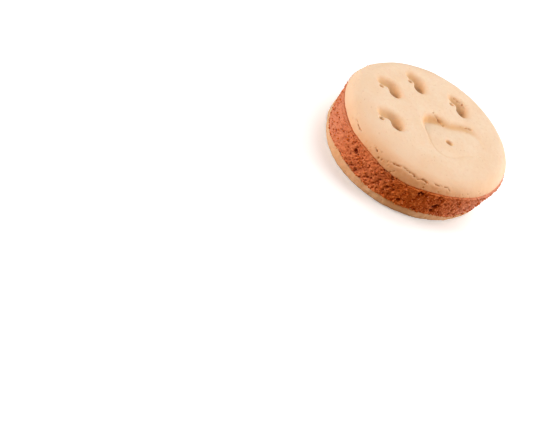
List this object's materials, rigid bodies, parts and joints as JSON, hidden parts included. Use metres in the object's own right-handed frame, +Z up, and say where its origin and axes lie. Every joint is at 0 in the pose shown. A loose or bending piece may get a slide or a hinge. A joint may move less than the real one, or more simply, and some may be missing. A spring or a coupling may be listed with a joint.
{
  "type": "dog biscuit",
  "caption": "Round sandwich dog biscuit: pale baked layers round a thick crumbly red filling, with a paw print and docker holes pressed into the top.",
  "frame": {"origin": "middle of the flat underside, under the middle of the biscuit's box", "axes": "+Z up through the layers, +Y towards the toes of the paw print, +X to the print's right"},
  "size_m": [0.0512, 0.0499, 0.0132],
  "materials": {
    "baked_dough_top": null,
    "red_filling": "terracotta-red baked filling, dry, open and crumbly, with pits, loose crumbs and small bright specks",
    "baked_dough_base": "pale, dry baked biscuit dough, matt, slightly browner than the top at its edge"
  },
  "bodies": {
    "root": {"top_biscuit": "baked_dough_top", "filling": "red_filling", "bottom_biscuit": "baked_dough_base"}
  },
  "joints": []
}
